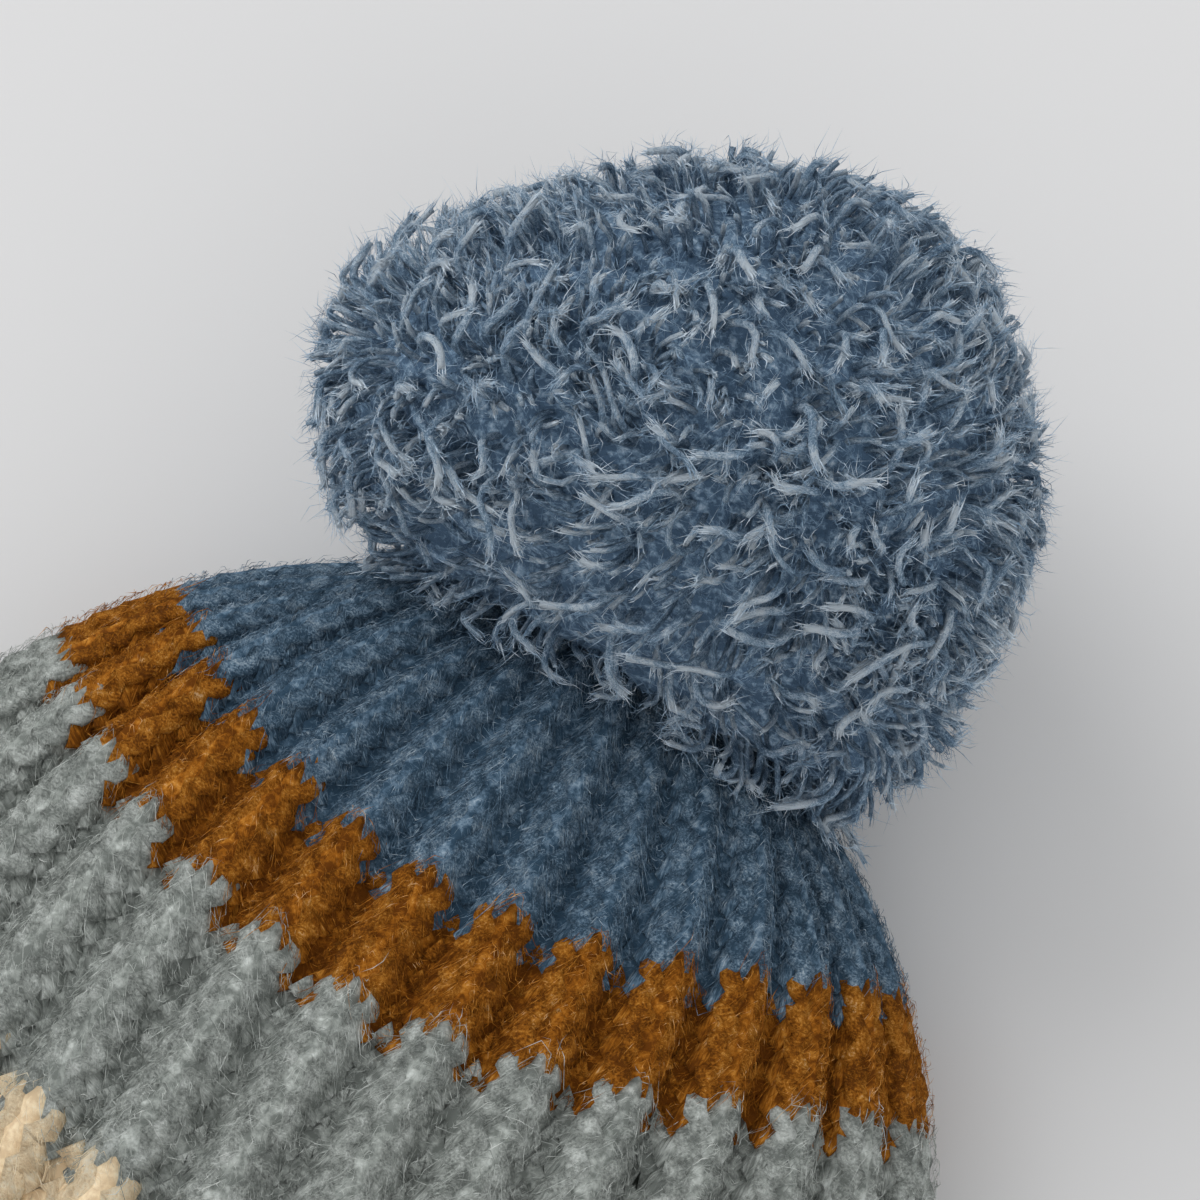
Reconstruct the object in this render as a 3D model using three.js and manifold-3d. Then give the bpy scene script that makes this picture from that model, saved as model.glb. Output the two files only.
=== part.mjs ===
// Bobble hat: a child's chunky ribbed hat lying on its side, with a large yarn pompom.
// Millimetres, +Z up. The hat lies along Y, with its rim towards -Y and its pompom towards +Y.
import * as THREE from "three";
import { mergeVertices } from "three/addons/utils/BufferGeometryUtils.js";
import loadManifold from "manifold-3d";

// Knitted fabric
const RIB_COUNT = 30; // one knit ridge and one purl furrow each
const RIDGE_SHARE = 0.5; // flat part of a ridge, as a share of the rib's pitch
const FURROW_SHARE = 0.2; // flat part of a furrow, as a share of the rib's pitch
const RIB_DEPTH = 3; // a furrow's floor below the ridge beside it
const WALL = 4; // fabric, through one ridge
const ROW_HEIGHT = 4.5; // one course of knitting, along a rib
const RIB_FADE = 40; // the ribs reach full depth this far along from the gather
const GATHER_RELIEF = 0.2; // share of the rib depth left at the gather
const PIECE_GAP = 0.3; // between neighbouring pieces

// The lying hat in cross-sections, from the gathered top to the rim
const SECTIONS = {
  gather: { reach: 0, halfWidth: 9, top: 30, side: 21, bottom: 12 },
  crown: { reach: 100, halfWidth: 87, top: 57, side: 12, bottom: 0 },
  rim: { reach: 196, halfWidth: 90, top: 47, side: 11, bottom: 0 },
};
const RIM_RISE = 10; // the rim is this much shorter at the side folds
const UNDERSIDE_POWER = 0.5; // squarer below the side folds than an ellipse
const UNDERSIDE_PRESS = 1.15; // over 1, so that the middle is pressed flat on the surface

// Soft folds that fan out from the gather across the crown
const FOLD_COUNT = 8;
const FOLD_DEPTH = 2.4;

// Colour bands in knitted rows, from the gather outwards
const BANDS = [
  { name: "crown_cap", untilRow: 12, steps: 5, color: 0x435a6e },
  { name: "rust_stripe", untilRow: 16, steps: 2, color: 0x6f431a },
  { name: "grey_band", untilRow: 24, steps: 2, color: 0x87897f },
  { name: "cream_band", untilRow: null, steps: 3, color: 0xbda381 }, // down to the rim
];
const KNIT_ROUGHNESS = 0.95;

// Pompom: a head of packed yarn with locks standing out of it, flatter where it sits on the crown
const POMPOM = {
  center: new THREE.Vector3(0, 14.4, 49),
  headRadii: { across: 44, away: 38.5, crownward: 26, upright: 41.5 },
  headDetail: 3,
  lockCount: 100,
  lockRadius: 6,
  tipRadius: 2.8,
  lockSides: 5,
  lockRoot: 6, // sunk into the head
  lockReach: { shortest: 5.5, longest: 9.5 }, // out of the head
  lockLean: 0.28,
  lockCurl: 2.4,
  color: 0x54677a,
};
const GOLDEN_ANGLE = Math.PI * (3 - Math.sqrt(5));
const ENVELOPE = { sides: 60, rings: 9, opening: THREE.MathUtils.degToRad(67.5), gap: 0.5 };

const wasm = await loadManifold();
wasm.setup();

// Evenly mixed numbers from 0 to 1, the same on every run
function scatter(index, salt) {
  const wave = Math.sin(index * 12.9898 + salt * 78.233) * 43758.5453;
  return wave - Math.floor(wave);
}

const { lerp, smoothstep, clamp } = THREE.MathUtils;

// How far the crown has opened out at this reach: 0 at the gather, 1 from full width on
function spreadAt(reach) {
  const remaining = Math.max(0, 1 - reach / SECTIONS.crown.reach);
  return Math.sqrt(1 - remaining * remaining);
}

function sectionAt(reach) {
  const { gather, crown, rim } = SECTIONS;
  const onCrown = reach < crown.reach;
  const [from, to] = onCrown ? [gather, crown] : [crown, rim];
  const share = onCrown ? spreadAt(reach) : smoothstep(reach, crown.reach, rim.reach);
  return {
    halfWidth: lerp(from.halfWidth, to.halfWidth, share),
    top: lerp(from.top, to.top, share),
    side: lerp(from.side, to.side, share),
    bottom: lerp(from.bottom, to.bottom, share),
  };
}

// A point of the hat at an angle round it and a reach from the gather, this deep below the ridges
function hatPoint(angle, reach, depth) {
  const section = sectionAt(reach);
  const shrink = depth * spreadAt(reach);
  const halfWidth = section.halfWidth - shrink;
  const top = section.top - shrink;
  const bottom = section.bottom + shrink;
  const across = Math.cos(angle);
  const upward = Math.sin(angle);
  const y = -reach - depth * Math.max(0, 1 - reach / SECTIONS.crown.reach);
  if (upward >= 0) {
    return new THREE.Vector3(halfWidth * across, y, section.side + (top - section.side) * upward);
  }
  const squareX = Math.sign(across) * Math.abs(across) ** UNDERSIDE_POWER;
  const drop = UNDERSIDE_PRESS * Math.abs(upward) ** UNDERSIDE_POWER;
  const z = Math.max(bottom, section.side - (section.side - bottom) * drop);
  return new THREE.Vector3(halfWidth * squareX, y, z);
}

// A table of running lengths along a curve, read either way round
function measureCurve(pointAt, end, stepCount) {
  const stops = [{ at: 0, length: 0 }];
  let previous = pointAt(0);
  for (let step = 1; step <= stepCount; step += 1) {
    const at = (end * step) / stepCount;
    const point = pointAt(at);
    stops.push({ at, length: stops.at(-1).length + point.distanceTo(previous) });
    previous = point;
  }
  const read = (value, given, wanted) => {
    const last = stops.length - 1;
    const next = clamp(stops.findIndex((stop) => stop[given] >= value), 1, last);
    const upper = value >= stops[last][given] ? last : next;
    const [a, b] = [stops[upper - 1], stops[upper]];
    return a[wanted] + ((b[wanted] - a[wanted]) * (value - a[given])) / (b[given] - a[given]);
  };
  return {
    total: stops.at(-1).length,
    lengthAt: (at) => read(at, "at", "length"),
    whereAt: (length) => read(length, "length", "at"),
  };
}

const girth = measureCurve((angle) => hatPoint(angle, SECTIONS.crown.reach, 0), 2 * Math.PI, 1440);
const girthAtTop = girth.lengthAt(Math.PI / 2) / girth.total;

// One line of the fabric that runs from the gather to the rim, at a share of the girth from the top ridge
function fabricLine(share) {
  const around = (((girthAtTop + share) % 1) + 1) % 1;
  const angle = girth.whereAt(around * girth.total);
  const run = measureCurve((reach) => hatPoint(angle, reach, 0), SECTIONS.rim.reach, 160);
  const rimReach = SECTIONS.rim.reach - RIM_RISE * Math.cos(angle) ** 2;
  return { share, angle, run, rimLength: run.lengthAt(rimReach) };
}

const ribShares = [...Array(RIB_COUNT).keys()].map((rib) => rib / RIB_COUNT);
const atShares = (base, offsets) => offsets.map((offset) => fabricLine(base + offset / RIB_COUNT));

// Outside, a rib has the two edges of its ridge and the two of its furrow. Inside, it has one line for each
const outerLines = ribShares.flatMap((base) => [
  ...atShares(base, [-RIDGE_SHARE / 2, RIDGE_SHARE / 2]).map((line) => ({ ...line, furrow: 0 })),
  ...atShares(base, [0.5 - FURROW_SHARE / 2, 0.5 + FURROW_SHARE / 2]).map((line) => ({ ...line, furrow: 1 })),
]);
const innerLines = ribShares.flatMap((base) => [
  ...atShares(base, [0]).map((line) => ({ ...line, furrow: 0 })),
  ...atShares(base, [0.5]).map((line) => ({ ...line, furrow: 1 })),
]);

const crownLength = BANDS[0].untilRow * ROW_HEIGHT;

// Where a colour change crosses a fabric line. The purl furrow changes colour one row later than the ridge
function changeLength(line, row) {
  if (row === null) {
    return line.rimLength;
  }
  return row === 0 ? 0 : (row + line.furrow) * ROW_HEIGHT;
}

function fabricPoint(line, length, backing) {
  const relief = clamp(GATHER_RELIEF + length / RIB_FADE, 0, 1);
  const fan = 0.5 - 0.5 * Math.cos(2 * Math.PI * FOLD_COUNT * line.share);
  const fade = Math.sin(Math.PI * clamp(length / crownLength, 0, 1));
  const depth = backing + line.furrow * RIB_DEPTH * relief + FOLD_DEPTH * fan * fade;
  return hatPoint(line.angle, line.run.whereAt(length), depth);
}

function geometryFrom(points, triangles) {
  const geometry = new THREE.BufferGeometry().setFromPoints(points);
  geometry.setIndex(triangles.flat());
  return geometry;
}

// One knitted piece: an outer and an inner skin in rows, joined at both ends
function knitBand({ untilRow, steps }, startRow) {
  const points = [];
  const triangles = [];
  const gapAt = (row) => (row === 0 || row === null ? 0 : PIECE_GAP / 2);
  const skin = (lines, backing) => {
    const rows = [];
    for (let step = 0; step <= steps; step += 1) {
      rows.push(lines.map((line) => {
        const from = changeLength(line, startRow) + gapAt(startRow);
        const to = changeLength(line, untilRow) - gapAt(untilRow);
        return points.push(fabricPoint(line, lerp(from, to, step / steps), backing)) - 1;
      }));
    }
    return rows;
  };
  const outer = skin(outerLines, 0);
  const inner = skin(innerLines, WALL);

  const around = (row, index) => row[index % row.length];
  const layQuads = (rows, outward) => {
    for (let step = 0; step < steps; step += 1) {
      rows[step].forEach((corner, index) => {
        const beside = around(rows[step], index + 1);
        const beyond = rows[step + 1][index];
        const opposite = around(rows[step + 1], index + 1);
        triangles.push(outward ? [corner, opposite, beyond] : [corner, beyond, opposite]);
        triangles.push(outward ? [corner, beside, opposite] : [corner, opposite, beside]);
      });
    }
  };
  layQuads(outer, true);
  layQuads(inner, false);

  const closeEnd = (outerRow, innerRow, facingGather) => {
    const lay = (a, b, c) => triangles.push(facingGather ? [a, c, b] : [a, b, c]);
    for (let rib = 0; rib < RIB_COUNT; rib += 1) {
      const [ridgeA, ridgeB, furrowA, furrowB, nextRidge] = [0, 1, 2, 3, 4].map((k) => around(outerRow, 4 * rib + k));
      const [ridge, furrow, nextInner] = [0, 1, 2].map((k) => around(innerRow, 2 * rib + k));
      lay(ridgeA, ridgeB, ridge);
      lay(ridgeB, furrowA, ridge);
      lay(furrowA, furrow, ridge);
      lay(furrowA, furrowB, furrow);
      lay(furrowB, nextRidge, furrow);
      lay(nextRidge, nextInner, furrow);
    }
  };
  // The crown is drawn shut, so each of its skins ends in a disc
  const drawShut = (row, outward) => {
    const middle = row.reduce((sum, index) => sum.add(points[index]), new THREE.Vector3());
    const center = points.push(middle.divideScalar(row.length)) - 1;
    row.forEach((corner, index) => {
      const beside = around(row, index + 1);
      triangles.push(outward ? [center, beside, corner] : [center, corner, beside]);
    });
  };
  if (startRow === 0) {
    drawShut(outer[0], true);
    drawShut(inner[0], false);
  } else {
    closeEnd(outer[0], inner[0], true);
  }
  closeEnd(outer[steps], inner[steps], false);
  return geometryFrom(points, triangles);
}

// The filled outside of the crown, a gap larger all round, which the pompom is pressed on to
function crownEnvelope() {
  const { sides, rings, opening } = ENVELOPE;
  const points = [];
  const triangles = [];
  const place = (point) => points.push(point) - 1;
  const loops = [...Array(rings + 1).keys()].map((ring) => {
    const reach = SECTIONS.crown.reach * (1 - Math.cos((opening * ring) / rings));
    return [...Array(sides).keys()].map((side) => {
      return place(hatPoint(girth.whereAt((girth.total * side) / sides), reach, -ENVELOPE.gap));
    });
  });
  const middleOf = (loop) => points[loop[0]].clone().setX(0).setZ(SECTIONS.gather.side);
  const [front, back] = [loops[0], loops[rings]].map((loop) => place(middleOf(loop)));
  for (let side = 0; side < sides; side += 1) {
    const beside = (side + 1) % sides;
    triangles.push([front, loops[0][beside], loops[0][side]]);
    triangles.push([back, loops[rings][side], loops[rings][beside]]);
    for (let ring = 1; ring <= rings; ring += 1) {
      triangles.push([loops[ring - 1][side], loops[ring][beside], loops[ring][side]]);
      triangles.push([loops[ring - 1][side], loops[ring - 1][beside], loops[ring][beside]]);
    }
  }
  return geometryFrom(points, triangles);
}

function solidFrom(geometry) {
  const bare = new THREE.BufferGeometry();
  bare.setAttribute("position", geometry.getAttribute("position"));
  bare.setIndex(geometry.getIndex());
  const merged = mergeVertices(bare, 1e-4);
  const mesh = new wasm.Mesh({
    numProp: 3,
    vertProperties: Float32Array.from(merged.getAttribute("position").array),
    triVerts: Uint32Array.from(merged.getIndex().array),
  });
  return new wasm.Manifold(mesh);
}

function geometryOf(solid) {
  const { vertProperties, triVerts } = solid.getMesh();
  const geometry = new THREE.BufferGeometry();
  geometry.setAttribute("position", new THREE.BufferAttribute(vertProperties, 3));
  geometry.setIndex(new THREE.BufferAttribute(triVerts, 1));
  return geometry;
}

// A point on the head's surface along a unit direction
function headPoint(outward) {
  const { across, away, crownward, upright } = POMPOM.headRadii;
  const along = outward.y < 0 ? crownward : away;
  return outward.clone().multiply(new THREE.Vector3(across, along, upright));
}

function pompomHead() {
  const head = new THREE.IcosahedronGeometry(1, POMPOM.headDetail);
  const position = head.getAttribute("position");
  const corner = new THREE.Vector3();
  for (let vertex = 0; vertex < position.count; vertex += 1) {
    corner.copy(headPoint(corner.fromBufferAttribute(position, vertex)));
    position.setXYZ(vertex, corner.x, corner.y, corner.z);
  }
  return head;
}

// One lock: a tapered, slightly curled tuft of yarn along a direction out of the head
function pompomLock(index) {
  const { lockReach, lockRoot, lockLean, lockCurl } = POMPOM;
  const height = 1 - (2 * (index + 0.5)) / POMPOM.lockCount;
  const turn = index * GOLDEN_ANGLE;
  const flat = Math.sqrt(1 - height * height);
  const outward = new THREE.Vector3(flat * Math.cos(turn), flat * Math.sin(turn), height);
  const root = headPoint(outward);
  const lean = new THREE.Vector3(scatter(index, 1), scatter(index, 2), scatter(index, 3)).subScalar(0.5);
  const along = outward.clone().addScaledVector(lean, 2 * lockLean).normalize();

  const reach = lerp(lockReach.shortest, lockReach.longest, scatter(index, 4));
  const length = lockRoot + reach;
  const lock = new THREE.CylinderGeometry(POMPOM.tipRadius, POMPOM.lockRadius, length, POMPOM.lockSides, 2);
  lock.translate(0, length / 2 - lockRoot, 0);
  const position = lock.getAttribute("position");
  for (let vertex = 0; vertex < position.count; vertex += 1) {
    const out = Math.max(0, position.getY(vertex)) / reach;
    position.setX(vertex, position.getX(vertex) + lockCurl * out * out);
  }
  lock.rotateY(2 * Math.PI * scatter(index, 5));
  lock.applyQuaternion(new THREE.Quaternion().setFromUnitVectors(new THREE.Vector3(0, 1, 0), along));
  lock.translate(root.x, root.y, root.z);
  return lock;
}

function pompomGeometry() {
  const { center } = POMPOM;
  const tufts = [...Array(POMPOM.lockCount).keys()].map((index) => solidFrom(pompomLock(index)));
  const ball = wasm.Manifold.union([solidFrom(pompomHead()), ...tufts]).translate(center.toArray());

  const slab = new THREE.BoxGeometry(200, 200, 60).translate(0, center.y, -30); // below the surface it lies on
  const pressed = ball.subtract(solidFrom(slab)).subtract(solidFrom(crownEnvelope()));
  const pieces = pressed.decompose().sort((a, b) => b.volume() - a.volume());
  return geometryOf(pieces[0]);
}

const yarn = (color) => new THREE.MeshStandardMaterial({ color, roughness: KNIT_ROUGHNESS, metalness: 0 });

function addPiece(group, name, geometry, color) {
  const mesh = new THREE.Mesh(geometry, yarn(color));
  mesh.name = name;
  group.add(mesh);
}

const hat = new THREE.Group();
BANDS.forEach((band, index) => {
  const startRow = index === 0 ? 0 : BANDS[index - 1].untilRow;
  addPiece(hat, band.name, knitBand(band, startRow), band.color);
});
addPiece(hat, "pompom", pompomGeometry(), POMPOM.color);

// The origin lies on the surface, below the middle of the whole hat
const bounds = new THREE.Box3().setFromObject(hat, true);
const middle = bounds.getCenter(new THREE.Vector3());
hat.position.set(-middle.x, -middle.y, -bounds.min.z);
hat.updateMatrixWorld(true);

export default hat;
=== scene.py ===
import math

import bpy
import numpy as np
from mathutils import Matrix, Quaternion, Vector


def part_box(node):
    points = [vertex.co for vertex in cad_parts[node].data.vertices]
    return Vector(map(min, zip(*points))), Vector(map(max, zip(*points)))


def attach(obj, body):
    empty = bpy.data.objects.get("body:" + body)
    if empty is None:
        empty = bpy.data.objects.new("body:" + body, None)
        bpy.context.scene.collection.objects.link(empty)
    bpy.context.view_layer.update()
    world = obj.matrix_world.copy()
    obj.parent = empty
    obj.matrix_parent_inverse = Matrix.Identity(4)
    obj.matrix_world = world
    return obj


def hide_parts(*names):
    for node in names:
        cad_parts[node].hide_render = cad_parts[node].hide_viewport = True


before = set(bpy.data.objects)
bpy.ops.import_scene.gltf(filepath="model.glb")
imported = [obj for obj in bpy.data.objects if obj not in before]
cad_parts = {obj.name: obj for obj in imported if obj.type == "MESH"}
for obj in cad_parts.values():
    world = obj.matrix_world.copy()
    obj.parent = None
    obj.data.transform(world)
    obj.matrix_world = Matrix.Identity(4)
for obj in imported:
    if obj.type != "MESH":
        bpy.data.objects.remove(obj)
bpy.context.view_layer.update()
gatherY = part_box("crown_cap")[1].y  # the drawn-shut top of the hat, where its rows are counted from
gather = np.array([0, gatherY, 0])
mm = 0.001
fullTurn = 2 * math.pi
print("frame loaded, the gather is at y =", round(gatherY, 4))


# Camera first, at the photograph's angle
viewpoint = {
    "aim": (-1.7, -3.3, 45.0),  # mm, from below the gather
    "azimuth": 32.8,
    "elevation": 69.7,
    "roll": -2.05,
    "distance": 543,  # mm
    "clipStart": 10,
    "lens": 124.8,
}


def setCamera():
    turn, tilt = math.radians(viewpoint["azimuth"]), math.radians(viewpoint["elevation"])
    back = Vector((math.sin(turn) * math.cos(tilt), -math.cos(turn) * math.cos(tilt), math.sin(tilt)))
    aim = Vector(viewpoint["aim"]) * mm + Vector(gather)
    bpy.ops.object.camera_add(location=aim + back * viewpoint["distance"] * mm)
    camera = bpy.context.object
    camera.rotation_mode = "QUATERNION"
    level = (-back).to_track_quat("-Z", "Y")
    camera.rotation_quaternion = level @ Quaternion((0, 0, 1), math.radians(viewpoint["roll"]))
    camera.data.lens = viewpoint["lens"]
    camera.data.clip_start = viewpoint["clipStart"] * mm
    bpy.context.scene.camera = camera
    print("camera set")


# The lying hat, in the same sections as the solids, in mm
hatShape = {
    "reach": {"gather": 0, "crown": 100, "rim": 196},
    "halfWidth": {"gather": 9, "crown": 87, "rim": 90},
    "top": {"gather": 30, "crown": 57, "rim": 47},
    "side": {"gather": 21, "crown": 12, "rim": 11},
    "bottom": {"gather": 12, "crown": 0, "rim": 0},
    "rimRise": 10,  # the rim is this much shorter at the side folds
    "undersidePower": 0.5,
    "undersidePress": 1.15,
    "ribs": 30,
    "rowHeight": 4.5,
    "rows": 45,
    "evenRows": 24,  # rows of one height, before the cream yarn fits itself to the rim
    "lateRows": (30, 44),  # furrows lie a row lower than ridges, until they even out over these rows
    "shallow": 0.65,  # share of the furrows' depth at the gather
    "shallowRows": (3, 14),
    "foldCount": 8,
    "foldDepth": 2.4,
    "foldRows": 12,
}
# How finely the shape is measured, with lengths in mm
measuring = {"ringStops": 2881, "domeStops": 120, "bodyStops": 80, "lines": 240, "longest": 260, "step": 0.5}


def smooth(value, low, high):
    t = np.clip((value - low) / (high - low), 0, 1)
    return t * t * (3 - 2 * t)


def unit(vectors):
    return vectors / (np.linalg.norm(vectors, axis=-1, keepdims=True) + 1e-12)


def spreadAt(reach):
    remaining = np.clip(1 - reach / hatShape["reach"]["crown"], 0, 1)
    return np.sqrt(1 - remaining**2)


def sectionAt(key, reach):
    size, stops = hatShape[key], hatShape["reach"]
    opening = size["gather"] + (size["crown"] - size["gather"]) * spreadAt(reach)
    body = size["crown"] + (size["rim"] - size["crown"]) * smooth(reach, stops["crown"], stops["rim"])
    return np.where(reach < stops["crown"], opening, body)


def hatPoint(angle, reach, depth):  # mm from below the gather, this deep under the ridges
    shrink = depth * spreadAt(reach)
    halfWidth = sectionAt("halfWidth", reach) - shrink
    side = sectionAt("side", reach)
    top = sectionAt("top", reach) - shrink
    bottom = sectionAt("bottom", reach) + shrink
    across, upward = np.cos(angle), np.sin(angle)
    power = hatShape["undersidePower"]
    squareX = np.sign(across) * np.abs(across) ** power
    drop = hatShape["undersidePress"] * np.abs(upward) ** power
    x = halfWidth * np.where(upward >= 0, across, squareX)
    underside = np.maximum(bottom, side - (side - bottom) * drop)
    z = np.where(upward >= 0, side + (top - side) * upward, underside)
    y = -reach - depth * np.clip(1 - reach / hatShape["reach"]["crown"], 0, 1)
    return np.stack([x, y + 0 * x, z], axis=-1)


def runningLength(points):
    steps = np.linalg.norm(np.diff(points, axis=0), axis=-1)
    return np.concatenate([[0], np.cumsum(steps)])


crownReach, rimReach = float(hatShape["reach"]["crown"]), hatShape["reach"]["rim"]
ringAngles = np.linspace(0, fullTurn, measuring["ringStops"])
noDepth = np.zeros_like(ringAngles)
ringRuns = runningLength(hatPoint(ringAngles, crownReach + noDepth, noDepth))
girth = ringRuns[-1]
topRun = np.interp(math.pi / 2, ringAngles, ringRuns)
lineShares = np.arange(measuring["lines"] + 1) / measuring["lines"]


def angleAt(share):  # share: the way round the hat, from the middle of its upper side
    return np.interp((topRun / girth + share) % 1 * girth, ringRuns, ringAngles)


def measureRibs():  # how far along a rib each reach is, on lines round the hat
    dome = crownReach * (1 - np.cos(np.linspace(0, math.pi / 2, measuring["domeStops"])))
    body = np.linspace(crownReach, rimReach, measuring["bodyStops"])
    reaches = np.concatenate([dome, body[1:]])
    lengths = np.arange(0, measuring["longest"], measuring["step"])
    table, rimLengths = [], []
    for share in lineShares:
        angle = np.full(len(reaches), angleAt(share))
        runs = runningLength(hatPoint(angle, reaches, np.zeros(len(reaches))))
        edgeReach = rimReach - hatShape["rimRise"] * math.cos(angle[0]) ** 2
        rimLengths.append(np.interp(edgeReach, reaches, runs))
        table.append(np.interp(lengths, runs, reaches))
    return np.array(table), np.array(rimLengths)


ribTable, rimTable = measureRibs()


def reachAt(share, length):
    column = share % 1 * measuring["lines"]
    line = np.minimum(column.astype(int), measuring["lines"] - 1)
    place = np.clip(length / measuring["step"], 0, ribTable.shape[1] - 2)
    step = place.astype(int)
    a, b = column - line, place - step
    near = ribTable[line, step] * (1 - b) + ribTable[line, step + 1] * b
    far = ribTable[line + 1, step] * (1 - b) + ribTable[line + 1, step + 1] * b
    return near * (1 - a) + far * a


def furrowAt(share):  # 0 on the middle of a knit ridge, 1 in the purl furrow
    return 0.5 - 0.5 * np.cos(fullTurn * share * hatShape["ribs"])


def reliefAt(share, row):  # the furrows are shallower towards the gather
    shallow = hatShape["shallow"]
    return furrowAt(share) * (shallow + (1 - shallow) * smooth(row, *hatShape["shallowRows"]))


def fabricPoint(share, row, depth):  # metres, in the hat's own frame
    lateRow = row + furrowAt(share) * (1 - smooth(row, *hatShape["lateRows"]))
    even, height = hatShape["evenRows"], hatShape["rowHeight"]
    rimLength = np.interp(share % 1, lineShares, rimTable)
    stretched = even * height + (lateRow - even) / (hatShape["rows"] - even) * (rimLength - even * height)
    length = np.maximum(np.where(lateRow < even, lateRow * height, stretched), 0)
    fan = 0.5 - 0.5 * np.cos(fullTurn * hatShape["foldCount"] * share)
    foldLength = hatShape["foldRows"] * height
    fold = hatShape["foldDepth"] * fan * np.sin(math.pi * np.clip(length / foldLength, 0, 1))
    point = hatPoint(angleAt(share), reachAt(share, length), depth + fold)
    return point * mm + gather


# Mesh making
def setTone(mesh, tone):  # how light the wool is at each corner
    layer = mesh.attributes.new("tone", "FLOAT", "POINT")
    layer.data.foreach_set("value", tone.astype(np.float32))


def makePiece(name, verts, faces, tone, material, grain=None):
    mesh = bpy.data.meshes.new(name)
    mesh.from_pydata(verts.tolist(), [], faces)
    setTone(mesh, tone)
    if grain is not None:
        layer = mesh.attributes.new("grain", "FLOAT_VECTOR", "POINT")
        layer.data.foreach_set("vector", grain.astype(np.float32).ravel())
    mesh.shade_smooth()
    mesh.materials.append(material)
    piece = bpy.data.objects.new(name, mesh)
    bpy.context.scene.collection.objects.link(piece)
    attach(piece, "root")
    print(name, "faces", len(mesh.polygons))
    return piece


def sweepTubes(paths, hints, radii, sides, twist, closed):
    # paths: tubes x stops x 3, hints point out of the surface beside each stop
    if closed:
        tangent = np.roll(paths, -1, axis=1) - np.roll(paths, 1, axis=1)
    else:
        tangent = np.gradient(paths, axis=1)
    tangent = unit(tangent)
    beside = unit(np.cross(tangent, hints))
    above = np.cross(beside, tangent)
    tubes, stops = paths.shape[:2]
    corners = fullTurn * np.arange(sides) / sides
    ring = beside[:, :, None] * np.cos(corners)[:, None] + above[:, :, None] * np.sin(corners)[:, None]
    verts = paths[:, :, None] + radii[:, :, None, None] * ring
    steps = np.linalg.norm(np.diff(paths, axis=1), axis=-1) / mm
    along = np.concatenate([np.zeros((tubes, 1)), np.cumsum(steps, axis=1)], axis=1)
    turned = corners + (along * fullTurn / twist)[:, :, None]
    grain = np.stack([along[:, :, None] + 0 * turned, np.cos(turned), np.sin(turned)], axis=-1)

    index = np.arange(tubes * stops * sides).reshape(tubes, stops, sides)
    nextStop = np.roll(index, -1, axis=1) if closed else index[:, 1:]
    here = index if closed else index[:, :-1]
    quads = np.stack([here, np.roll(here, -1, axis=2), np.roll(nextStop, -1, axis=2), nextStop], axis=-1)
    faces = quads.reshape(-1, 4).tolist()
    if not closed:
        faces += index[:, 0, ::-1].tolist() + index[:, -1].tolist()
    return verts.reshape(-1, 3), faces, grain.reshape(-1, 3)


def spinFibres(stops, radius):  # thin closed spindles: a point, rings of three, a point
    count, length = stops.shape[:2]
    tangent = unit(np.gradient(stops, axis=1))
    isSteep = np.abs(tangent[..., 2:]) >= 0.8  # of its length
    helper = np.where(isSteep, [1.0, 0.0, 0.0], [0.0, 0.0, 1.0])  # any direction across the fibre
    beside = unit(np.cross(tangent, helper))
    above = np.cross(beside, tangent)
    corners = fullTurn * np.arange(3) / 3
    ring = beside[:, :, None] * np.cos(corners)[:, None] + above[:, :, None] * np.sin(corners)[:, None]
    rings = (stops[:, :, None] + radius[:, None, None, None] * ring)[:, 1:-1].reshape(count, -1, 3)
    verts = np.concatenate([stops[:, :1], rings, stops[:, -1:]], axis=1)
    size = verts.shape[1]
    local = []
    for corner in range(3):
        other = (corner + 1) % 3
        local.append((0, 1 + other, 1 + corner))
        for level in range(length - 3):
            low, high = 1 + 3 * level, 4 + 3 * level
            local.append((low + corner, low + other, high + other, high + corner))
        last = 1 + 3 * (length - 3)
        local.append((last + corner, last + other, size - 1))
    faces = []
    for shape in local:
        faces += (np.array(shape) + size * np.arange(count)[:, None]).tolist()
    return verts.reshape(-1, 3), faces, size


# Wool finishes
wool = {
    "fineScale": 900.0,  # fibres on fluff, for each metre
    "patchScale": 400.0,
    "patches": 1.2,  # how strongly broad patches show
    "shadePlaces": (0.22, 0.5, 0.76, 1.0),
    "middleShift": 0.1,  # brings the middle shade back to the middle
    "bumpDepth": 0.0006,  # metres
    "roughness": 0.92,
    "specular": 0.1,
    "sheen": 0.1,
    "sheenRoughness": 0.5,
}


def addNode(tree, kind, **values):
    node = tree.nodes.new(kind)
    for key, value in values.items():
        if key in node.inputs:
            node.inputs[key].default_value = value
        else:
            setattr(node, key, value)
    return node


def setRamp(node, stops):
    ramp = node.color_ramp
    while len(ramp.elements) < len(stops):
        ramp.elements.new(0.5)
    for element, (place, color) in zip(ramp.elements, stops):
        element.position = place
        element.color = (*color, 1)


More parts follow.
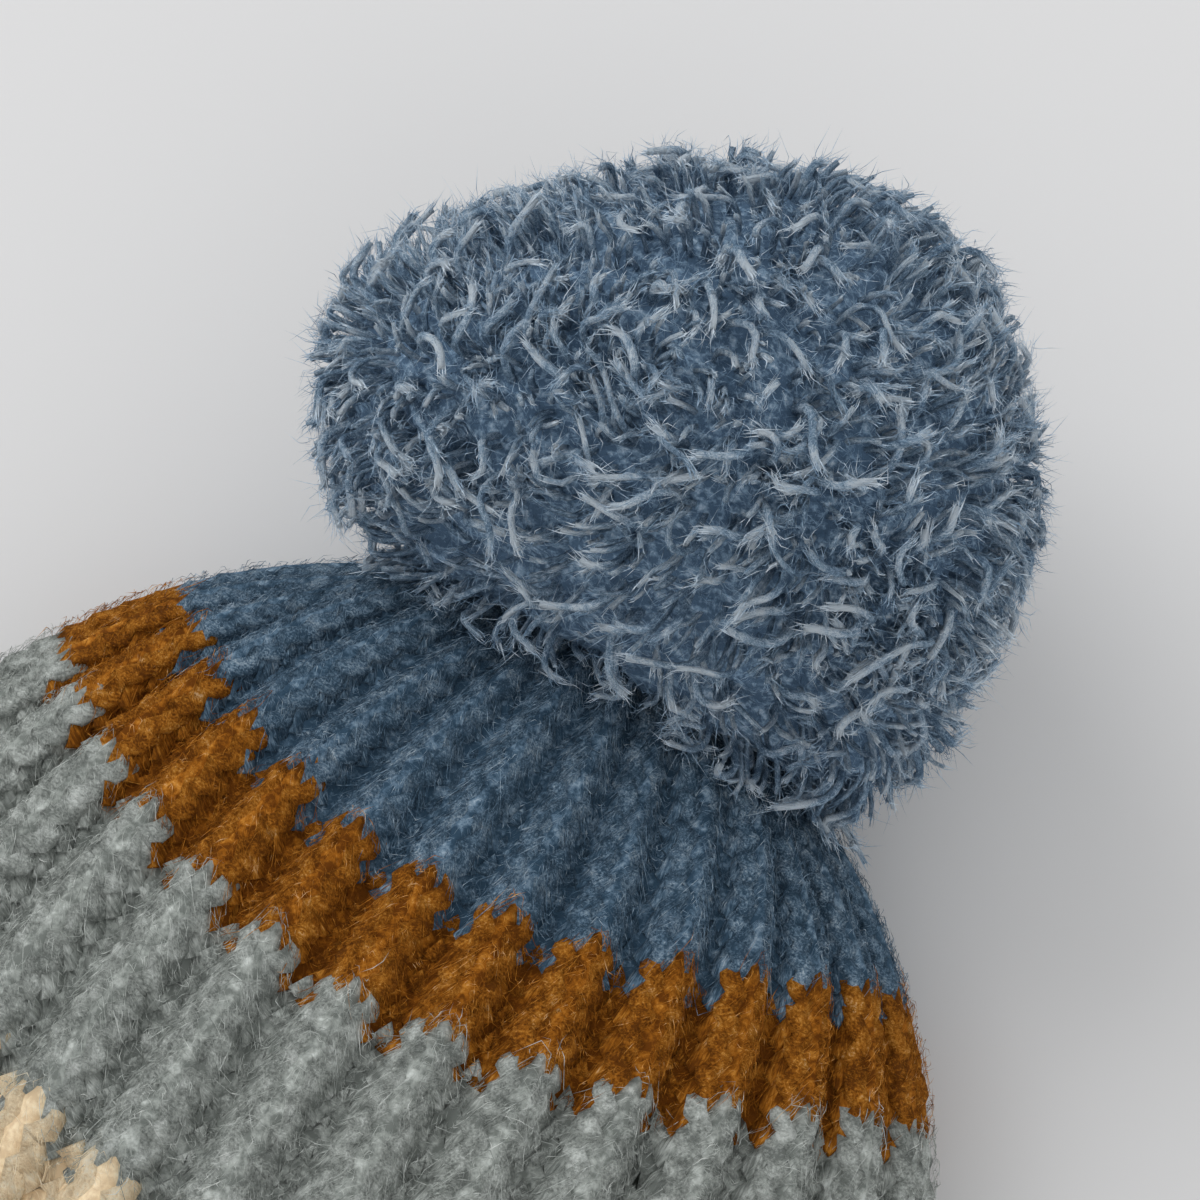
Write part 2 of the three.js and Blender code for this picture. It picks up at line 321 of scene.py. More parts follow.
def woolFinish(name, shades, contrast, bumped, streak=None):
    # shades: dark, middle, light and palest; streak: how long and how fine the fibres on a yarn look
    material = bpy.data.materials.new(name)
    material.use_nodes = True
    tree = material.node_tree
    shader = tree.nodes["Principled BSDF"]
    place = addNode(tree, "ShaderNodeTexCoord")
    fibres = addNode(tree, "ShaderNodeTexNoise", Scale=wool["fineScale"], Detail=4.0, Roughness=0.65)
    if streak:
        grain = addNode(tree, "ShaderNodeAttribute", attribute_name="grain")
        stretch = addNode(tree, "ShaderNodeMapping", Scale=streak)
        tree.links.new(grain.outputs["Vector"], stretch.inputs["Vector"])
        tree.links.new(stretch.outputs["Vector"], fibres.inputs["Vector"])
        fibres.inputs["Scale"].default_value = 1.0  # the grain is already in mm
    else:
        tree.links.new(place.outputs["Object"], fibres.inputs["Vector"])
    patches = addNode(tree, "ShaderNodeTexNoise", Scale=wool["patchScale"], Detail=2.0, Roughness=0.55)
    tree.links.new(place.outputs["Object"], patches.inputs["Vector"])
    tone = addNode(tree, "ShaderNodeAttribute", attribute_name="tone")

    soft = addNode(tree, "ShaderNodeMath", operation="MULTIPLY_ADD")  # tone and broad patches
    soft.inputs[1].default_value = wool["patches"]
    tree.links.new(patches.outputs["Fac"], soft.inputs[0])
    tree.links.new(tone.outputs["Fac"], soft.inputs[2])
    blend = addNode(tree, "ShaderNodeMath", operation="MULTIPLY_ADD")  # and fine fibres on those
    blend.inputs[1].default_value = contrast
    tree.links.new(fibres.outputs["Fac"], blend.inputs[0])
    tree.links.new(soft.outputs[0], blend.inputs[2])
    centred = addNode(tree, "ShaderNodeMath", operation="SUBTRACT")
    centred.inputs[1].default_value = contrast / 2 + wool["middleShift"]
    tree.links.new(blend.outputs[0], centred.inputs[0])
    ramp = addNode(tree, "ShaderNodeValToRGB")
    setRamp(ramp, list(zip(wool["shadePlaces"], shades)))
    tree.links.new(centred.outputs[0], ramp.inputs["Fac"])
    tree.links.new(ramp.outputs["Color"], shader.inputs["Base Color"])

    if bumped:
        relief = addNode(tree, "ShaderNodeBump", Strength=1.0, Distance=wool["bumpDepth"])
        tree.links.new(fibres.outputs["Fac"], relief.inputs["Height"])
        tree.links.new(relief.outputs["Normal"], shader.inputs["Normal"])
    shader.inputs["Roughness"].default_value = wool["roughness"]
    shader.inputs["Specular IOR Level"].default_value = wool["specular"]
    shader.inputs["Sheen Weight"].default_value = wool["sheen"]
    shader.inputs["Sheen Roughness"].default_value = wool["sheenRoughness"]
    shader.inputs["Sheen Tint"].default_value = (*shades[2], 1)
    return material


# Knitting: one yarn a row, a knit loop on each ridge and a purl loop in each furrow
knit = {
    "yarnRadius": 2.15,  # mm
    "middle": 3.5,  # depth of the loops' feet below the ridges, mm
    "legLift": 1.6,  # how far a loop's legs stand out of the middle, mm
    "loopHalf": 0.92,  # half a loop's height, in rows
    "knitShare": 0.64,  # of a rib's pitch
    "lean": 0.2,  # the legs open towards the crown
    "corrugation": 1.6,  # mm that the furrows sink
    "knitStops": 10,
    "purlStops": 6,
    "sides": 4,
    "twist": 7.0,  # mm for each turn of the yarn
    "uneven": {"aside": 0.012, "along": 0.07, "deep": 0.25},  # in ribs, rows and mm
    "thickness": {"spread": 0.09, "limits": (-0.2, 0.03)},  # of the yarn's radius
    "firstRow": 0.05,  # no loop starts nearer to the gather
    "clearance": 0.1,  # mm above the surface
    "toneSpread": 0.035,
    "streak": (0.3, 5, 5),
    "loopSeed": 40,
    "napSeed": 60,
}
bands = [  # nap: its share of the fibres; shade: painted shade, how much darker its furrows are drawn
    {"name": "crown", "node": "crown_cap", "slot": "blue_knit", "rows": (0, 12),
     "nap": 0.25, "shade": 0.2, "contrast": 2.1},
    {"name": "rust", "node": "rust_stripe", "slot": "rust_knit", "rows": (12, 16),
     "nap": 0.14, "shade": 0.18, "contrast": 1.6},
    {"name": "grey", "node": "grey_band", "slot": "grey_knit", "rows": (16, 24),
     "nap": 0.26, "shade": 0.1, "contrast": 1.3},
    {"name": "cream", "node": "cream_band", "slot": "cream_knit", "rows": (24, 45),
     "nap": 0.3, "shade": 0.08, "contrast": 1.2},
]
yarnShades = {
    "crown": ((0.042, 0.085, 0.135), (0.125, 0.207, 0.295), (0.28, 0.385, 0.49), (0.52, 0.62, 0.70)),
    "rust": ((0.15, 0.045, 0.004), (0.39, 0.135, 0.012), (0.64, 0.28, 0.045), (0.84, 0.55, 0.29)),
    "grey": ((0.20, 0.22, 0.205), (0.41, 0.44, 0.415), (0.66, 0.70, 0.67), (0.82, 0.85, 0.82)),
    "cream": ((0.76, 0.58, 0.37), (0.96, 0.79, 0.54), (0.98, 0.89, 0.70), (0.98, 0.93, 0.80)),
}
crowding = {"full": 87, "least": 0.35, "power": 0.7}  # the yarn is drawn thinner towards the gather


def drawnThin(width):  # width: the hat's, as a share of its full half width
    return np.clip(width, crowding["least"], 1) ** crowding["power"]


def yarnRows(band, seed):
    rng = np.random.default_rng(seed)
    rows = np.arange(*band["rows"])
    ribs, knitShare = hatShape["ribs"], knit["knitShare"]
    knitTurn = fullTurn * np.arange(knit["knitStops"]) / knit["knitStops"]
    purlTurn = fullTurn * np.arange(knit["purlStops"]) / knit["purlStops"]
    t = np.concatenate([knitTurn, purlTurn])  # round a knit loop, then round a purl loop
    isKnit = np.arange(len(t)) < len(knitTurn)
    loop = t / fullTurn - 0.5 + knit["lean"] * np.sin(2 * t)
    phase = np.where(isKnit, knitShare * loop, 0.5 + (1 - knitShare) * loop)
    lift = np.where(isKnit, 1, -1) * knit["legLift"] * np.sin(t) ** 2
    loose = np.sin(t / 2) ** 2  # each stitch is a little uneven
    uneven = rng.normal(size=(3, 2, len(rows), ribs, 1))
    uneven = np.where(isKnit, uneven[:, 0], uneven[:, 1]) * loose
    share = (np.arange(ribs)[:, None] + phase + knit["uneven"]["aside"] * uneven[0]) / ribs
    row = rows[:, None, None] + 0.5 + knit["loopHalf"] * np.cos(t) + knit["uneven"]["along"] * uneven[1]
    depth = knit["middle"] - lift + knit["uneven"]["deep"] * uneven[2]
    depth = depth + knit["corrugation"] * reliefAt(share, row)
    share, depth = share.reshape(len(rows), -1), depth.reshape(len(rows), -1)
    row = np.maximum(row.reshape(len(rows), -1), knit["firstRow"])
    paths = fabricPoint(share, row, depth)
    paths[..., 2] = np.maximum(paths[..., 2], (knit["yarnRadius"] + knit["clearance"]) * mm)
    outward = unit(fabricPoint(share, row, depth - 1) - paths)
    width = sectionAt("halfWidth", np.clip((gatherY - paths[..., 1]) / mm, 0, None))
    drawn = drawnThin(width / crowding["full"])
    thicker = knit["thickness"]["spread"] * rng.normal(size=share.shape)
    thicker = np.clip(thicker, *knit["thickness"]["limits"])
    radii = knit["yarnRadius"] * mm * drawn * (1 + thicker)
    verts, faces, grain = sweepTubes(paths, outward, radii, knit["sides"], knit["twist"], closed=True)
    # the loops' tone: random, less painted shade in the furrows
    tone = rng.normal(scale=knit["toneSpread"], size=share.shape) - band["shade"] * reliefAt(share, row)
    tone = np.repeat(tone.ravel(), knit["sides"])
    return verts, faces, grain, tone


# The felted fabric between the loops, in mm; its tone is painted shade, drawn darker than the loops
backing = {"depth": 0.8, "furrow": 3.9, "wall": 1.2, "linesPerRib": 6, "tone": -0.12}


def backingShell(band):
    start, until = band["rows"]
    lines, steps = backing["linesPerRib"] * hatShape["ribs"], until - start
    share, row = np.meshgrid(np.arange(lines) / lines, np.linspace(start, until, steps + 1))
    depth = backing["depth"] + backing["furrow"] * reliefAt(share, row)
    outer = fabricPoint(share, row, depth)
    inner = fabricPoint(share, row, depth + backing["wall"])
    verts = np.concatenate([outer.reshape(-1, 3), inner.reshape(-1, 3)])
    index = np.arange(2 * (steps + 1) * lines).reshape(2, steps + 1, lines)
    beside = np.roll(index, -1, axis=2)
    quads = [
        np.stack([index[0, :-1], beside[0, :-1], beside[0, 1:], index[0, 1:]], axis=-1),
        np.stack([index[1, :-1], index[1, 1:], beside[1, 1:], beside[1, :-1]], axis=-1),
        np.stack([index[0, -1], beside[0, -1], beside[1, -1], index[1, -1]], axis=-1),
    ]
    if start > 0:
        quads.append(np.stack([index[0, 0], index[1, 0], beside[1, 0], beside[0, 0]], axis=-1))
    faces = np.concatenate([quad.reshape(-1, 4) for quad in quads]).tolist()
    if start == 0:
        faces += [index[0, 0, ::-1].tolist(), index[1, 0].tolist()]
    # painted shade: the whole fabric darker, and darker still in the furrows
    tone = np.tile(backing["tone"] - band["shade"] * reliefAt(share, row).ravel(), 2)
    return verts, faces, tone


# Brushed nap: fine fibres that lie over the loops and stand off them
nap = {
    "short": {"count": 44000, "stops": 3, "length": (1.0, 3.2), "rise": (0.0, 1.5)},
    "long": {"count": 4800, "stops": 4, "length": (3.0, 7.0), "rise": (0.1, 1.7)},
    "radius": (0.03, 0.058),  # mm
    "underside": 0.15,  # share kept where the hat lies on the surface
    "undersideFrom": -0.1,  # sine of the angle round the hat
    "furrow": 3.5,  # mm that the nap sinks between the ridges
    "seat": 0.15,  # mm below the yarn's top
    "seatLimits": (-0.1, 0.6),
    "arch": 0.3,  # mm that a fibre's middle stands up
    "bend": 1.1,
    "fewTall": 1.4,  # higher: fewer fibres stand far off
    "clearance": 0.1,  # mm above the surface
    "tries": 8,  # places tried for each fibre
    "tone": (0.06, 0.12),  # middle and spread; the middle is a painted highlight that draws the fibres lighter, the spread is random
}


def napFibres(band, kind, count, seed):
    rng = np.random.default_rng(seed)
    setting = nap[kind]
    start, until = band["rows"]
    tries = nap["tries"] * count
    share = rng.random(tries)
    row = start + (until - start) * rng.random(tries)
    width = sectionAt("halfWidth", reachAt(share, row * hatShape["rowHeight"])) / crowding["full"]
    isSeen = np.sin(angleAt(share)) > nap["undersideFrom"]
    keep = isSeen | (rng.random(tries) < nap["underside"])
    keep &= rng.random(tries) < width  # evenly over the fabric, which narrows to the gather
    share, row, width = share[keep][:count], row[keep][:count], width[keep][:count]
    count = len(share)
    heading = fullTurn * rng.random(count)
    length = rng.uniform(*setting["length"], count)
    rise = rng.uniform(*setting["rise"], count) * rng.random(count) ** nap["fewTall"]
    ridgeTop = knit["middle"] - knit["legLift"] - knit["yarnRadius"] * drawnThin(width)
    ridgeTop = np.clip(ridgeTop + nap["seat"], *nap["seatLimits"])
    bend = rng.normal(scale=nap["bend"], size=count)
    stops = []
    for stop in np.linspace(0, 1, setting["stops"]):
        turn = heading + bend * stop
        away = share + stop * length * np.cos(turn) / (girth * width)
        along = row + stop * length * np.sin(turn) / hatShape["rowHeight"]
        surface = ridgeTop + nap["furrow"] * reliefAt(away, along)
        lifted = surface - rise * stop**0.7 - nap["arch"] * math.sin(math.pi * stop)
        stops.append(fabricPoint(away, np.maximum(along, 0), lifted))
    path = np.stack(stops, axis=1)
    path[..., 2] = np.maximum(path[..., 2], nap["clearance"] * mm)
    radius = rng.uniform(*nap["radius"], count) * mm
    verts, faces, size = spinFibres(path, radius)
    # painted highlight on the fibres, less painted shade in the furrows, with random spread
    tone = rng.normal(*nap["tone"], count) - band["shade"] * reliefAt(share, row)
    return verts, faces, np.repeat(tone, size)


def joinParts(parts):  # several sets of verts, faces and tones as one
    verts, faces, tones, base = [], [], [], 0
    for partVerts, partFaces, partTones in parts:
        verts.append(partVerts)
        faces += [[corner + base for corner in face] for face in partFaces]
        tones.append(partTones)
        base += len(partVerts)
    return np.concatenate(verts), faces, np.concatenate(tones)


def knitHat():
    for number, band in enumerate(bands):
        name, shades = band["name"], yarnShades[band["name"]]
        yarn = woolFinish(name + "Yarn", shades, band["contrast"], bumped=True, streak=knit["streak"])
        fluff = woolFinish(name + "Nap", shades, band["contrast"], bumped=False)
        verts, faces, tone = backingShell(band)
        shell = makePiece(name + "_backing", verts, faces, tone, fluff)
        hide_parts(band["node"])
        verts, faces, grain, tone = yarnRows(band, knit["loopSeed"] + number)
        makePiece(name + "_loops", verts, faces, tone, yarn, grain)
        counts = {kind: int(nap[kind]["count"] * band["nap"]) for kind in ("short", "long")}
        sets = [napFibres(band, kind, counts[kind], knit["napSeed"] + number) for kind in counts]
        verts, faces, tone = joinParts(sets)
        makePiece(name + "_nap", verts, faces, tone, fluff)


# Pompom: a close middle, cut yarns that lean every way, and the fuzz on them
pompom = {
    "center": (0, 14.4, 49.0),  # mm, from below the gather
    "across": 47.5,
    "away": 42.5,
    "crownward": 28.0,
    "upright": 45.5,
    "lumps": [  # direction, height in mm, closeness
        ((0.29, 0.93, 0.23), 4.5, 9),
        ((-0.79, 0.51, 0.34), -5.5, 9),
        ((-0.98, -0.08, 0.17), 4.0, 14),
        ((-0.70, -0.71, -0.03), 6.0, 14),
        ((0.99, 0.01, -0.19), -3.5, 10),
        ((0.70, -0.59, -0.40), 8.5, 12),
    ],
    "core": 4.2,  # mm below the outside
    "coreLumps": {"height": 0.7, "waves": ((23.0, 17.0, 11.0), (-13.0, 21.0, 19.0))},
    # painted shade: the middle is drawn darker, so the gaps between the strands look shaded
    "corePaintedShade": -0.2,
    "streak": (0.6, 3.5, 3.5),
    "twist": 5.0,  # mm for each turn of a strand
    "contrast": {"yarn": 2.2, "fluff": 1.3, "middle": 2.4},
    "shade": {"middle": -0.03, "spread": 0.06},  # from strand to strand
    "taper": 0.25,  # how much thinner a strand's end is
    "paleAndHighlight": (0.3, 1.0),  # the part of a strand where it turns pale: pale yarn and a painted highlight towards the lit outer end
    "seed": 7,
}
pompomCenter = np.array(pompom["center"]) * mm + gather
pompomShades = ((0.095, 0.165, 0.26), (0.235, 0.36, 0.505), (0.46, 0.60, 0.745), (0.74, 0.84, 0.93))
combing = {  # which way the strands lean
    "waves": ((4.4, 2.7, -3.6), (2.3, -4.8, 4.0), (-3.4, 3.8, 4.6)),
    "starts": (0.4, 1.7, 2.9),
    "fall": 0.12,
    "overCrown": 0.8,  # those beside the crown lean out over it
    "longer": 0.25,  # and are this much longer
    "hook": (2.4, 3.4),  # radians
    "wave": 0.25,
    "flatness": 110,  # mm, so that a strand follows the ball as it leans over
    "besideCrown": (0.0, 0.6),  # how far towards the crown a strand starts
    "jitter": 0.03,
}
strands = {
    "close": {  # short ones that make the ground
        "count": 3500,  # some of these are left out
        "stops": 5,
        "sides": 4,
        "radius": (0.32, 0.54),  # mm
        "root": (5.5, 9),  # mm below the outside
        "rise": (-1.8, 2.4),
        "climb": 1.15,  # the part of it that comes out of the ball
        "length": (0.5, 6),  # how far it leans over, mm
        "turn": 0.5,
        "hooked": 0.05,  # share of strands that turn back
        "strays": 0.35,  # how far strands leave the lie of their clump
        "paleAndHighlight": (0.05, 0.6),  # how much a strand's outer end is lightened, by pale yarn and a painted highlight
        "frayed": 3,  # fibres at each cut end
        "fuzz": 10000,  # fibres along all of them
    },
    "loose": {  # long ones that curl over those
        "count": 980,
        "stops": 10,
        "sides": 5,
        "radius": (0.42, 0.66),
        "root": (5.5, 8),
        "rise": (-0.6, 1.8),
        "climb": 0.6,
        "length": (3, 10.5),
        "turn": 0.6,
        "hooked": 0.12,
        "strays": 0.5,
        # pale yarn and a painted highlight on the outer ends
        "paleAndHighlight": (0.25, 0.85),
        "frayed": 7,
        "fuzz": 20000,
    },
}
fray = {
    "overlap": (1.5, 4.0),  # mm back along the strand
    "length": (0.5, 1.6),
    "splay": 0.28,
    "radius": (0.05, 0.1),
    "toneSpread": 0.08,
}
fuzz = {
    "length": (1.5, 4.0),  # mm
    "radius": (0.035, 0.06),
    "part": (0.35, 1.0),  # of a strand, from its root
    "off": (0.3, 0.75),  # mm from the strand's middle
    "lying": 0.65,  # share that lies along the strand
    "stray": {"lying": 0.25, "curled": 1.1},
    "outward": 0.5,  # more of them on the strand's outer side
    "lift": 0.2,  # mm
    "curl": 0.8,
    "paleAndHighlight": 0.7,  # of the strand's own pale yarn and painted highlight
    "toneSpread": 0.09,
}
felt = {
    "count": 16500,
    "length": (1.8, 5.0),
    "radius": (0.04, 0.075),
    "start": (-1.8, 0.6),  # mm below the middle's surface
    "middleLift": (0.3, 1.8),
    "endLift": (-0.5, 1.2),
    "turn": 0.9,
    "jitter": 0.02,
    # tone: middle and spread; the middle is painted shade on the curls between the strands, the spread is
    # random
    "tone": (-0.05, 0.1),
}
gaps = {"strands": 0.8, "fibres": 0.3, "core": 0.5, "surface": 0.2}  # mm kept to the crown and the surface
pushed = {"strands": 11, "fibres": 1.5}  # what the crown would push further, in mm, is left out


def pompomPoint(direction, inset):  # metres; inset is in mm below the outside
    along = np.where(direction[..., 1] < 0, pompom["crownward"], pompom["away"])
    sizes = np.stack([0 * along + pompom["across"], along, 0 * along + pompom["upright"]], axis=-1)
    for toward, height, closeness in pompom["lumps"]:
        toward = np.array(toward) / np.linalg.norm(toward)
        inset = inset - height * np.exp(closeness * (direction @ toward - 1))
    return pompomCenter + direction * (sizes - inset[..., None]) * mm


def evenDirections(count, rng, jitter):
    place = np.arange(count) + 0.5
    height = 1 - 2 * place / count
    turn = place * math.pi * (3 - math.sqrt(5))
    flat = np.sqrt(1 - height**2)
    direction = np.stack([flat * np.cos(turn), flat * np.sin(turn), height], axis=-1)
    direction = unit(direction + rng.normal(scale=jitter, size=direction.shape))
    distance = np.linalg.norm(pompomPoint(direction, np.zeros(count)) - pompomCenter, axis=-1)
    return direction[rng.random(count) < (distance / distance.max()) ** 2]  # evenly over the outside


def clearOfCrown(points, gap):  # strands lie on the crown and on the surface, not in them
    local = (points - gather) / mm
    reach = np.clip(-local[..., 1], 0, None)
    halfWidth = sectionAt("halfWidth", reach) + gap
    side = sectionAt("side", reach)
    top = sectionAt("top", reach) + gap
    bottom = sectionAt("bottom", reach) - gap
    x, z = local[..., 0], local[..., 2] - side
    above = np.hypot(x / halfWidth, z / (top - side))
    below = ((x / halfWidth) ** 4 + (z / (side - bottom)) ** 4) ** 0.25
    inside = np.clip(np.where(z >= 0, above, below), 0.05, 1)
    push = np.where((local[..., 1] < gap) & (inside < 1), 1 / inside, 1)
    local[..., 0] = x * push
    local[..., 2] = np.maximum(z * push + side, gap + gaps["surface"])
    return local * mm + gather


def keepNear(placed, meant, limit):
    return np.linalg.norm(placed - meant, axis=-1).max(axis=1) < limit * mm


def strandPaths(setting, rng):
    direction = evenDirections(setting["count"], rng, combing["jitter"])
    count = len(direction)
    field = np.sin(direction @ np.array(combing["waves"]) + np.array(combing["starts"]))  # clumps
    field += rng.normal(scale=setting["strays"], size=field.shape)
    fall = np.array([0, 0, combing["fall"]]) * (1 - direction[:, 2:] ** 2)
    lie = np.cross(direction, field) - fall
    towardCrown = smooth(-direction[:, 1], *combing["besideCrown"])
    lie[:, 1] -= combing["overCrown"] * towardCrown
    lie = unit(lie - direction * np.sum(lie * direction, axis=-1, keepdims=True))
    aside = np.cross(direction, lie)
    root = rng.uniform(*setting["root"], count)
    rise = rng.uniform(*setting["rise"], count)
    length = rng.uniform(*setting["length"], count) * (1 + combing["longer"] * towardCrown)
    hooked = rng.random(count) < setting["hooked"]
    hook = rng.choice([-1, 1], count) * rng.uniform(*combing["hook"], count)
    turn = np.where(hooked, hook, rng.normal(0, setting["turn"], count))
    wave, phase = rng.normal(0, combing["wave"], count), fullTurn * rng.random(count)
    ahead, across = np.zeros(count), np.zeros(count)
    paths = []
    for s in np.linspace(0, 1, setting["stops"]):
        climbed = math.sin(min(s / setting["climb"], 1) * math.pi / 2)
        inset = root * (1 - climbed) - rise * climbed + (ahead**2 + across**2) / combing["flatness"]
        sideways = lie * (ahead * mm)[:, None] + aside * (across * mm)[:, None]
        paths.append(pompomPoint(direction, inset) + sideways)
        heading = turn * s**1.5 + wave * np.sin(9 * s + phase)
        step = length * (0.3 + 0.9 * smooth(s, 0, 0.5)) / (setting["stops"] - 1)
        ahead = ahead + step * np.cos(heading)
        across = across + step * np.sin(heading)
    meant = np.stack(paths, axis=1)
    placed = clearOfCrown(meant, gaps["strands"])
    keep = keepNear(placed, meant, pushed["strands"])
    return placed[keep], direction[keep]


def frayPaths(paths, radius, each, rng):
    tip = np.repeat(paths[:, -1], each, axis=0)
    ahead = np.repeat(unit(paths[:, -1] - paths[:, -2]), each, axis=0)
    offset = unit(rng.normal(size=tip.shape)) * np.repeat(radius, each)[:, None]
    start = tip - ahead * rng.uniform(*fray["overlap"], len(tip))[:, None] * mm + 0.8 * offset
    middle = tip + offset
    splay = ahead + rng.normal(scale=fray["splay"], size=tip.shape)
    end = middle + splay * rng.uniform(*fray["length"], len(tip))[:, None] * mm
    return clearOfCrown(np.stack([start, middle, end], axis=1), gaps["fibres"])


def fuzzPaths(paths, direction, count, rng):  # fibres that lie on the strands and stand off them
    stops = paths.shape[1]
    strand = rng.integers(0, len(paths), count)
    place = rng.uniform(*fuzz["part"], count)
    stop = np.minimum((place * (stops - 1)).astype(int), stops - 2)
    part = (place * (stops - 1) - stop)[:, None]
    low, high = paths[strand, stop], paths[strand, stop + 1]
    along = unit(high - low)
    outward = unit(rng.normal(size=along.shape) + fuzz["outward"] * direction[strand])
    start = low + part * (high - low) + outward * rng.uniform(*fuzz["off"], count)[:, None] * mm
    length = rng.uniform(*fuzz["length"], count)[:, None] * mm
    isLying = rng.random(count) < fuzz["lying"]
    stray = np.where(isLying, fuzz["stray"]["lying"], fuzz["stray"]["curled"])[:, None]
    heading = unit(along + stray * rng.normal(size=along.shape))
    middle = start + heading * length * 0.5 + outward * fuzz["lift"] * mm
    end = middle + (heading + fuzz["curl"] * rng.normal(size=along.shape)) * length * 0.4
    meant = np.stack([start, middle, end], axis=1)
    placed = clearOfCrown(meant, gaps["fibres"])
    keep = keepNear(placed, meant, pushed["fibres"])
    return placed[keep], strand[keep], place[keep]


def feltPaths(rng):  # short curls over the middle, between the strands
    direction = evenDirections(felt["count"], rng, felt["jitter"])
    count = len(direction)
    heading = unit(np.cross(direction, rng.normal(size=direction.shape)))
    turned = unit(heading + felt["turn"] * rng.normal(size=heading.shape))
    length = rng.uniform(*felt["length"], count)
    start = pompomPoint(direction, pompom["core"] + rng.uniform(*felt["start"], count))
    middleLift = direction * rng.uniform(*felt["middleLift"], count)[:, None]
    middle = start + (heading * length[:, None] * 0.5 + middleLift) * mm
    endLift = direction * rng.uniform(*felt["endLift"], count)[:, None]
    end = middle + (turned * length[:, None] * 0.5 + endLift) * mm
    meant = np.stack([start, middle, end], axis=1)
    placed = clearOfCrown(meant, gaps["fibres"])
    return placed[keepNear(placed, meant, pushed["fibres"])]


def pompomCore(material):
    bpy.ops.object.select_all(action="DESELECT")
    bpy.ops.mesh.primitive_ico_sphere_add(subdivisions=5, radius=1)
    core = bpy.context.object
    core.name = core.data.name = "pompom_core"
    verts = np.array([corner.co for corner in core.data.vertices])
    lumps = np.zeros(len(verts))
    for wave in pompom["coreLumps"]["waves"]:
        lumps += pompom["coreLumps"]["height"] * np.sin(verts @ np.array(wave))
    placed = clearOfCrown(pompomPoint(verts, pompom["core"] + lumps), gaps["core"])
    core.data.vertices.foreach_set("co", placed.ravel())
    # painted shade on the whole middle
    setTone(core.data, np.full(len(verts), pompom["corePaintedShade"]))
    bpy.ops.object.shade_smooth()
    core.data.materials.append(material)
    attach(core, "root")
    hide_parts("pompom")
    print("pompom_core faces", len(core.data.polygons))


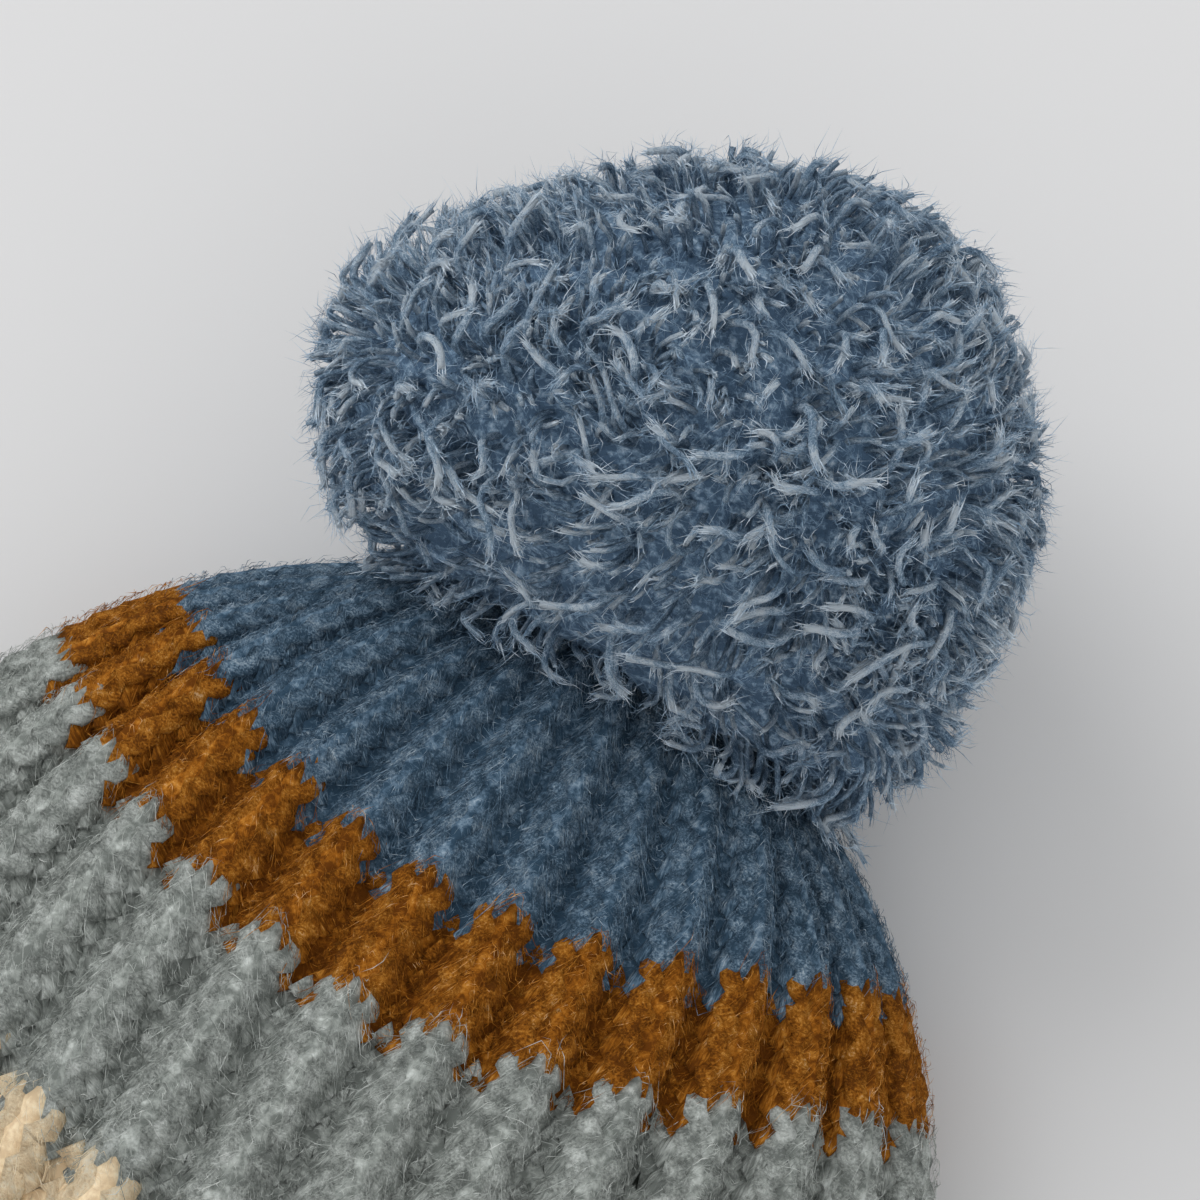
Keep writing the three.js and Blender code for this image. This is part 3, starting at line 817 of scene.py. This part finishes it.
def makePompom():
    rng = np.random.default_rng(pompom["seed"])
    slotName, contrast = "pompom_yarn", pompom["contrast"]
    yarn = woolFinish("pompomYarn", pompomShades, contrast["yarn"], bumped=True, streak=pompom["streak"])
    fluff = woolFinish("pompomFluff", pompomShades, contrast["fluff"], bumped=False)
    pompomCore(woolFinish("pompomMiddle", pompomShades, contrast["middle"], bumped=True))

    fibres = feltPaths(rng)
    verts, faces, size = spinFibres(fibres, rng.uniform(*felt["radius"], len(fibres)) * mm)
    tone = np.repeat(rng.normal(*felt["tone"], len(fibres)), size)
    makePiece("pompom_felt", verts, faces, tone, fluff)

    for kind, setting in strands.items():
        paths, direction = strandPaths(setting, rng)
        count = len(paths)
        hints = np.repeat(direction[:, None], setting["stops"], axis=1)
        s = np.linspace(0, 1, setting["stops"])
        paleAndHighlight = rng.uniform(*setting["paleAndHighlight"], count)
        shade = pompom["shade"]["spread"] * rng.normal(size=count) + pompom["shade"]["middle"]
        radius = rng.uniform(*setting["radius"], count) * mm
        radii = radius[:, None] * (1 - pompom["taper"] * s**4)
        sides = setting["sides"]
        verts, faces, grain = sweepTubes(paths, hints, radii, sides, pompom["twist"], closed=False)
        # lighter towards the outer end: pale yarn and a painted highlight
        bright = shade[:, None] + paleAndHighlight[:, None] * smooth(s, *pompom["paleAndHighlight"])
        tone = np.repeat(bright.ravel(), sides)
        name = "pompom_" + kind
        makePiece(name + "_strands", verts, faces, tone, yarn, grain)

        fibres = frayPaths(paths, radius, setting["frayed"], rng)
        verts, faces, size = spinFibres(fibres, rng.uniform(*fray["radius"], len(fibres)) * mm)
        # the frayed ends take the strand's end tone, painted highlight included
        tone = np.repeat(bright[:, -1], setting["frayed"]) + rng.normal(0, fray["toneSpread"], len(fibres))
        makePiece(name + "_frayed_ends", verts, faces, np.repeat(tone, size), fluff)

        fibres, strand, place = fuzzPaths(paths, direction, setting["fuzz"], rng)
        verts, faces, size = spinFibres(fibres, rng.uniform(*fuzz["radius"], len(fibres)) * mm)
        # the fuzz takes part of the strand's pale yarn and painted highlight
        tone = shade[strand] + fuzz["paleAndHighlight"] * paleAndHighlight[strand] * smooth(place, *pompom["paleAndHighlight"])
        tone = np.repeat(tone + rng.normal(0.0, fuzz["toneSpread"], len(fibres)), size)
        makePiece(name + "_fuzz", verts, faces, tone, fluff)


# Studio
studio = {
    "floorSize": 6.0,
    "floorColor": (0.765, 0.765, 0.77),
    "skyStrength": 0.67,
    "lamps": {
        "key": {"place": (-1.6, 0.45, 1.6), "size": 1.5, "power": 20},
        "fill": {"place": (1.5, -0.9, 1.3), "size": 2.0, "power": 5},
    },
}


def setStudio():
    bpy.ops.object.select_all(action="DESELECT")
    bpy.ops.mesh.primitive_plane_add(size=studio["floorSize"])
    floor = bpy.context.object
    floor.name = "floor"
    paper = bpy.data.materials.new("palePaper")
    paper.use_nodes = True
    shader = paper.node_tree.nodes["Principled BSDF"]
    shader.inputs["Base Color"].default_value = (*studio["floorColor"], 1)
    shader.inputs["Roughness"].default_value = 0.9
    floor.data.materials.append(paper)
    world = bpy.data.worlds.new("softSky")
    world.use_nodes = True
    world.node_tree.nodes["Background"].inputs["Strength"].default_value = studio["skyStrength"]
    world.node_tree.nodes["Background"].inputs["Color"].default_value = (1, 1, 1, 1)
    bpy.context.scene.world = world
    for name, setting in studio["lamps"].items():
        bpy.ops.object.light_add(type="AREA", location=setting["place"])
        lamp = bpy.context.object
        lamp.name = name
        lamp.data.size = setting["size"]
        lamp.data.energy = setting["power"]
        lamp.rotation_mode = "QUATERNION"
        lamp.rotation_quaternion = (-lamp.location).to_track_quat("-Z", "Y")
    bpy.context.scene.view_settings.view_transform = "Standard"
    print("studio set")


setCamera()
setStudio()
knitHat()
makePompom()

print("done")
